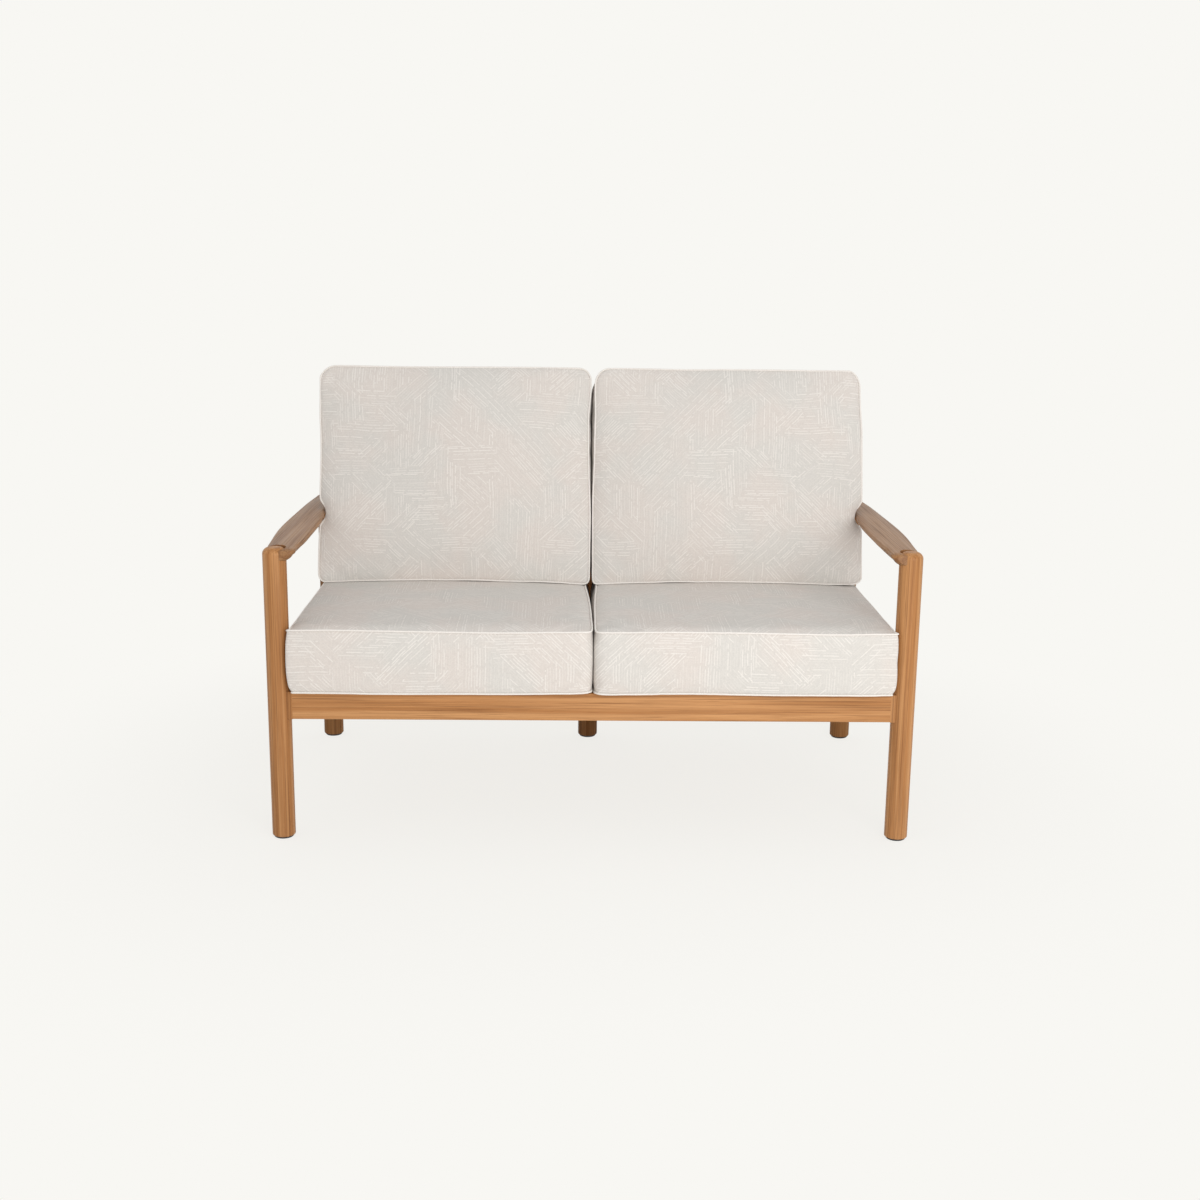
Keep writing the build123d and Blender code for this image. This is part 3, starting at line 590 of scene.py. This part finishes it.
def crease_rims(shape, rings):
    """Keeps the seams crisp when the mesh is subdivided."""
    layer = shape.edges.layers.float.new("crease_edge")
    for ring in rings:
        inside = set(ring)
        for edge in {e for v in ring for e in v.link_edges}:
            if all(v in inside for v in edge.verts):
                edge[layer] = RIM_CREASE


# %% [markdown]
# Each cushion has its own space. A seat cushion lies on the slats, passes between the posts
# and swells a little in front of them, and behind it yields to the back cushion. A back
# cushion leans on the back slats, stands on the seat cushion, and the arm pinches its side.
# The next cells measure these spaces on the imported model, as a cushion maker measures a
# frame before cutting any cloth.

# %% Measures of the frame
LEAN = math.radians(15)
PRESS_FALL = math.tan(math.radians(2))
GAP = 0.0004
SEAT_BOXING = 0.1345
BACK_THICKNESS = 0.206
BACK_HEIGHT = 0.500
BACK_PRESS = 0.003
SHOULDER_PROUD = 0.0045

seat_low, seat_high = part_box("seat_cushion_cover_right")
back_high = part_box("back_cushion_cover_right")[1]
arm_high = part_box("arm_right")[1]
post_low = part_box("front_post_right")[0]
slats_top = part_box("seat_slat_1")[1].z
post_inner = post_low.x + SHOULDER_PROUD - GAP
back_y = seat_high.y + GAP
seat_top = seat_low.z + SEAT_BOXING


def press_z(y):
    """Height of the sloped plane where a back cushion presses on a seat cushion."""
    return seat_top + (back_y - GAP - y) * PRESS_FALL


def ease(value, low, high):
    """Rises smoothly from 0 to 1 between two values."""
    share = min(max((value - low) / (high - low), 0.0), 1.0)
    return share * share * (3 - 2 * share)


def side_share(x):
    """How far a point is from the middle of its cushion: 1 at both sides."""
    return abs(2 * x / back_high.x - 1)


print("between the posts", 2 * post_inner, "seat top", seat_top, "back plane", back_y)

# %% [markdown]
# The seat cushion's front corners reach a little past the posts' inner sides, as small ears
# in front of them, and its lower edge is rounder than its upper one. Under the back cushion
# it is pressed along a slope, most of all at both sides.

# %% Space of a seat cushion
FOOT_DROP = 0.008
SEAT_CROWN = 0.006
SIDE_ROOM = 0.003
SEAT_EAR = 0.004
EAR_STARTS, EAR_FULL = 0.001, 0.006
FOOT_ROUND = 0.011


def hold_seat(point):
    """Holds a point of the right seat cushion inside its space."""
    x, y, z = point
    ahead = 1 - ease(y, post_low.y - EAR_FULL, post_low.y - EAR_STARTS)
    limit = post_inner - SIDE_ROOM + ahead * (seat_high.x + SEAT_EAR - post_inner + SIDE_ROOM)
    limit -= FOOT_ROUND * (1 - ease(z, seat_low.z, seat_low.z + 2 * FOOT_ROUND)) ** 2
    y = min(max(y, cad_low.y), back_y - GAP)
    z = min(max(z, seat_low.z), seat_top + SEAT_CROWN,
            press_z(y) - FOOT_DROP * side_share(x) ** 2)
    return Vector((min(max(x, GAP), limit), y, z))


print("seat cushion reaches", seat_high.x + SEAT_EAR, "in front of the posts")

# %% [markdown]
# A back cushion is wider than the room between the arms, so it swells over and under them.
# Its place is given up the lean of the back and forward out of it, because its faces lie
# along these two directions. Its top is pressed softly to an even height, and its lower
# outer corner keeps clear of the block between the stile and the rear leg.

# %% Space of a back cushion
ARM_ROOM = 0.0085
ARM_EDGE = 0.016
BULGE_OVER_ARM = 0.004
BULGE_UNDER_ARM = 0.017
BULGE_ROUND = 0.028
UNDER_ARM_ROUND = 0.6 * BULGE_ROUND
BLOCK_EDGE = 0.028
BLOCK_ROOM = 0.005
TOP_PRESS = 0.007
TOP_SWELL = 0.004


def arm_limit(z):
    """How far out a back cushion may reach at a height: the arm pinches it."""
    pinch = post_inner - ARM_ROOM
    over = ease(z, arm_high.z, arm_high.z + BULGE_ROUND)
    under = ease(arm_high.z - ARM_EDGE - z, 0, UNDER_ARM_ROUND)
    wide = back_high.x + BULGE_OVER_ARM
    return pinch + over * (wide - pinch) + under * BULGE_UNDER_ARM


def soft_top(up):
    """Presses what swells past a back cushion's height softly back."""
    over = up - back_base - BACK_HEIGHT + TOP_PRESS
    return up if over <= 0 else up - over + TOP_SWELL * math.tanh(over / TOP_SWELL)


def lean_frame(point):
    """Splits a point into its place up the lean and forward out of the back."""
    y, z = point.y - back_y, point.z - slats_top
    return (y * math.sin(LEAN) + z * math.cos(LEAN),
            z * math.sin(LEAN) - y * math.cos(LEAN))


def from_lean(x, up, out):
    """A point from its place across, up the lean and forward out of the back."""
    return Vector((x, back_y + up * math.sin(LEAN) - out * math.cos(LEAN),
                   slats_top + up * math.cos(LEAN) + out * math.sin(LEAN)))


def hold_back(point):
    """Holds a point of the right back cushion inside its space."""
    up, out = lean_frame(point)
    beside = ease(point.x, back_high.x - BLOCK_EDGE, back_high.x - BLOCK_EDGE / 2)
    point = from_lean(point.x, soft_top(up), max(out, GAP + BLOCK_ROOM * beside))
    point.z = max(point.z, press_z(point.y) + GAP - FOOT_DROP * side_share(point.x) ** 2)
    point.x = min(max(point.x, GAP), arm_limit(point.z))
    return point


def foot_up(out):
    """Where the pressed foot of a back cushion lies, up the lean, at a distance forward."""
    rise = (seat_top - slats_top + GAP + (out * math.cos(LEAN) - GAP) * PRESS_FALL
            - out * math.sin(LEAN))
    return rise / (math.cos(LEAN) + math.sin(LEAN) * PRESS_FALL)


back_base = foot_up(BACK_THICKNESS) - BACK_PRESS
print("foot of back", foot_up(0), foot_up(BACK_THICKNESS))

# %% [markdown]
# Filling a cushion is a cloth simulation. Air pressure pushes the panels out, the seams are
# held, and the cloth is a little larger than its outline, so it gathers in small puckers
# along the piping. The way each point moves is capped by a smooth curve, so the cushion
# never leaves its shape, and the result is written into the mesh.

# %% Filling
FILL_FRAMES = 20
FILL_PRESSURE = 4.0
CLOTH_GROWTH = 0.03
SWELL_CAP = 0.010


def fill(piece, ring_numbers):
    """Swells a cushion by cloth simulation, and keeps the swollen shape."""
    rim = piece.vertex_groups.new(name="rim")
    rim.add([n for ring in ring_numbers for n in ring], 1.0, "REPLACE")
    cloth = piece.modifiers.new("filling", "CLOTH")
    settings = cloth.settings
    settings.vertex_group_mass = "rim"
    settings.quality = 5
    settings.mass = 0.15
    settings.tension_stiffness = 12
    settings.compression_stiffness = 6
    settings.shear_stiffness = 4
    settings.bending_stiffness = 0.1
    settings.use_pressure = True
    settings.uniform_pressure_force = FILL_PRESSURE
    settings.shrink_min = -CLOTH_GROWTH
    settings.effector_weights.gravity = 0
    cloth.collision_settings.use_collision = False
    cloth.point_cache.frame_start = 1
    cloth.point_cache.frame_end = FILL_FRAMES
    for number in range(1, FILL_FRAMES + 1):
        scene.frame_set(number)
    swollen = piece.evaluated_get(bpy.context.evaluated_depsgraph_get()).data
    places = [v.co.copy() for v in swollen.vertices]
    piece.modifiers.remove(cloth)
    scene.frame_set(1)
    furthest = 0.0
    for vert, place in zip(piece.data.vertices, places):
        step = place - vert.co
        furthest = max(furthest, step.length)
        if step.length > 0:
            vert.co += step.normalized() * SWELL_CAP * math.tanh(step.length / SWELL_CAP)
    return furthest


print("a cushion swells by", SWELL_CAP, "m at most, in", FILL_FRAMES, "steps")

# %% [markdown]
# The piping is a thin cord in a strip of cloth, sewn into each seam. It follows the seam's
# final vertices all round as a closed smooth curve with a round section. Where the cushion
# meets its neighbour the cord is pressed in, as a real one is.

# %% Piping
PIPING_RADIUS = 0.0020
PIPING_LIFT = 0.0010
CORD_REACH = 1.4


def cord_line(ring, hold):
    """The middle of a seam's cord: just outside the seam, and far enough inside the
    cushion's space for the cord's outer side to stay in it."""
    line = []
    for vert in ring:
        middle = vert.co + vert.normal * PIPING_LIFT
        outer = middle + vert.normal * CORD_REACH * PIPING_RADIUS
        line.append(middle + hold(outer) - outer)
    return line


def piping(name, points):
    """A closed round cord through points, as a mesh."""
    curve = bpy.data.curves.new(name, "CURVE")
    curve.dimensions = "3D"
    curve.bevel_depth = PIPING_RADIUS
    curve.bevel_resolution = 2
    spline = curve.splines.new("NURBS")
    spline.points.add(len(points) - 1)
    for spot, point in zip(spline.points, points):
        spot.co = (*point, 1.0)
    spline.use_cyclic_u = True
    spline.order_u = 3
    spline.resolution_u = 2
    holder = bpy.data.objects.new(name, curve)
    scene.collection.objects.link(holder)
    mesh = bpy.data.meshes.new_from_object(holder)
    bpy.data.objects.remove(holder)
    mesh.name = name
    piece = bpy.data.objects.new(name, mesh)
    scene.collection.objects.link(piece)
    for face in mesh.polygons:
        face.use_smooth = True
    piece.data.materials.append(PIPING_CLOTH)
    return piece


print("piping", 2 * PIPING_RADIUS, "m thick")

# %% [markdown]
# One function sews any of the four cushions. It makes the blank, maps its cloth, bends it
# into place with small waves from noise, fills it, holds it in its space, smooths what was
# pressed flat, and adds the piping.

# %% Sewing
WAVE_SIZE = 0.19
WAVE_DRIFT = (7.3, 3.1, 5.7)
SMOOTH_ROUNDS, SMOOTH_SHARE = 2, 0.25


def sew(name, side, width, height, thickness, corners, place, hold, fold, seed):
    """Makes one cushion. place puts a point of the blank into the frame on the right side,
    hold keeps it inside its space, and side mirrors it to the left."""
    shape = cushion_blank(width, height, thickness, corners)
    rings = rims(shape)
    map_cloth(shape, rings[0])
    crease_rims(shape, rings)
    ring_numbers = [[v.index for v in ring] for ring in rings]
    drift = Vector([seed * step for step in WAVE_DRIFT])
    for vert in shape.verts:
        spot = place(vert.co)
        wave = noise.noise_vector(spot / WAVE_SIZE + drift) * fold
        vert.co = hold(spot + wave)
    piece = link_mesh(shape, name)
    moved = fill(piece, ring_numbers)
    print(name, "pushed by", round(moved * 1000, 1), "mm at most, before the cap")
    mesh = piece.data
    shape = bmesh.new()
    shape.from_mesh(mesh)
    for count in range(SMOOTH_ROUNDS):
        for vert in shape.verts:
            vert.co = hold(vert.co)
        bmesh.ops.smooth_vert(shape, verts=shape.verts, factor=SMOOTH_SHARE,
                              use_axis_x=True, use_axis_y=True, use_axis_z=True)
    for vert in shape.verts:
        vert.co = hold(vert.co)
    shape.normal_update()
    shape.verts.ensure_lookup_table()
    paths = [cord_line([shape.verts[n] for n in ring], hold) for ring in ring_numbers]
    for spot in [v.co for v in shape.verts] + [spot for path in paths for spot in path]:
        spot.x *= side
    if side < 0:
        bmesh.ops.reverse_faces(shape, faces=shape.faces)
    for face in shape.faces:
        face.smooth = True
    shape.to_mesh(mesh)
    shape.free()
    mesh.materials.append(PANEL_CLOTH)
    finer = piece.modifiers.new("finer", "SUBSURF")
    finer.levels = finer.render_levels = 1
    return piece, paths


print("waves", WAVE_SIZE, "m long")

# %% [markdown]
# The seat cushions all but touch at the front and part a little towards the back. Their
# tops crown gently. The back cushions have a fuller crown on the front face, and their foot
# is sheared to the slope of the seat cushion that they stand on.

# %% Patterns of the cushions
SEAM_ROOM = 0.0030
CROWN_POWER = 2.4
SEAT_CORNERS = (0.018, 0.006, 0.030, 0.030)
SEAT_PART = 0.009
PART_FROM, PART_TO = 0.25, 0.3
EAR_SHARE = 0.46
EAR_PUSH = 4
BACK_CORNERS = (0.013, 0.026, 0.036, 0.046)
BACK_CROWN = 0.026
BACK_SPARE = 0.005
FOOT_ARCH = 0.010
FOOT_LIFT = 0.002
CENTRE_LENS = 0.0035
LENS_OPENS, LENS_CLOSES = (0.35, 0.7), (0.75, 0.95)

seat_width = seat_high.x - GAP - SEAM_ROOM
seat_depth = back_y - GAP - cad_low.y - 2 * SEAM_ROOM
seat_thickness = SEAT_BOXING - 2 * SEAM_ROOM
seat_mid_y = (back_y - GAP + cad_low.y) / 2
back_width = back_high.x + BACK_SPARE - GAP - 2 * SEAM_ROOM
back_thickness = BACK_THICKNESS - 2 * SEAM_ROOM


def crown_share(x, y, width, height):
    """How far the crown has risen at a point of a panel: 0 at its edge, 1 in the middle."""
    u, v = min(abs(2 * x / width), 1.0), min(abs(2 * y / height), 1.0)
    return (1 - u ** CROWN_POWER) * (1 - v ** CROWN_POWER)


def place_seat(spot):
    """Puts a point of the blank into the right seat cushion."""
    rise = SEAT_CROWN * crown_share(spot.x, spot.y, seat_width, seat_depth)
    x = GAP + SEAM_ROOM + seat_width / 2 + spot.x
    y = seat_mid_y + spot.y
    up_share = spot.z / seat_thickness
    inner = 0.5 - spot.x / seat_width
    parting = ease(y, seat_mid_y - PART_FROM * seat_depth, seat_mid_y + PART_TO * seat_depth)
    x += SEAT_PART * inner * parting * up_share ** 2
    corner = (ease(spot.x / seat_width, EAR_SHARE, 0.5)
              * ease(-spot.y / seat_depth, EAR_SHARE, 0.5))
    x += EAR_PUSH * SEAT_EAR * corner * 4 * up_share * (1 - up_share)
    z = seat_low.z + SEAM_ROOM + spot.z + rise * up_share
    return Vector((x, y, z))


def place_back(spot):
    """Puts a point of the blank into the right back cushion."""
    rise = BACK_CROWN * crown_share(spot.x, spot.y, back_width, BACK_HEIGHT)
    out = GAP + SEAM_ROOM + spot.z + rise * spot.z / back_thickness
    up_share = 0.5 + spot.y / BACK_HEIGHT
    foot = foot_up(min(out, BACK_THICKNESS)) + FOOT_LIFT + SEAM_ROOM * up_share
    straight = back_base + up_share * (BACK_HEIGHT - SEAM_ROOM)
    lift = max(foot - back_base, 0.0) * (1 - up_share) ** 3
    x = GAP + SEAM_ROOM + back_width / 2 + spot.x
    lens = ease(up_share, *LENS_OPENS) * (1 - ease(up_share, *LENS_CLOSES))
    x += CENTRE_LENS * lens * (0.5 - spot.x / back_width)
    arch = FOOT_ARCH * (1 - up_share) ** 2 * (2 * spot.x / back_width) ** 2
    return from_lean(x, straight + lift - arch, out)


print("seat pattern", seat_width, "x", seat_depth, "back pattern", back_width, "wide")

# %% [markdown]
# Each pattern is sewn twice, and the left copy is the mirror image of the right one, with
# waves of its own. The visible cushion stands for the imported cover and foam, and moves with
# their body. Its piping rides on the same body.

# %% The four cushions
cushions = (
    ("seat_cushion", seat_width, seat_depth, seat_thickness, SEAT_CORNERS, place_seat,
     hold_seat, 0.003),
    ("back_cushion", back_width, BACK_HEIGHT, back_thickness, BACK_CORNERS, place_back,
     hold_back, 0.009),
)
seed = 0
for kind, width, height, thickness, corners, place, hold, fold in cushions:
    for hand, side in (("left", -1), ("right", 1)):
        seed += 1
        body = f"{kind}_{hand}"
        piece, paths = sew(f"{body}_fabric", side, width, height, thickness, corners, place,
                           hold, fold, seed)
        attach(piece, body)
        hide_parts(f"{kind}_cover_{hand}", f"{kind}_foam_{hand}")
        for edge, path in zip(("low", "high"), paths):
            cord = piping(f"{body}_piping_{edge}", path)
            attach(cord, body)
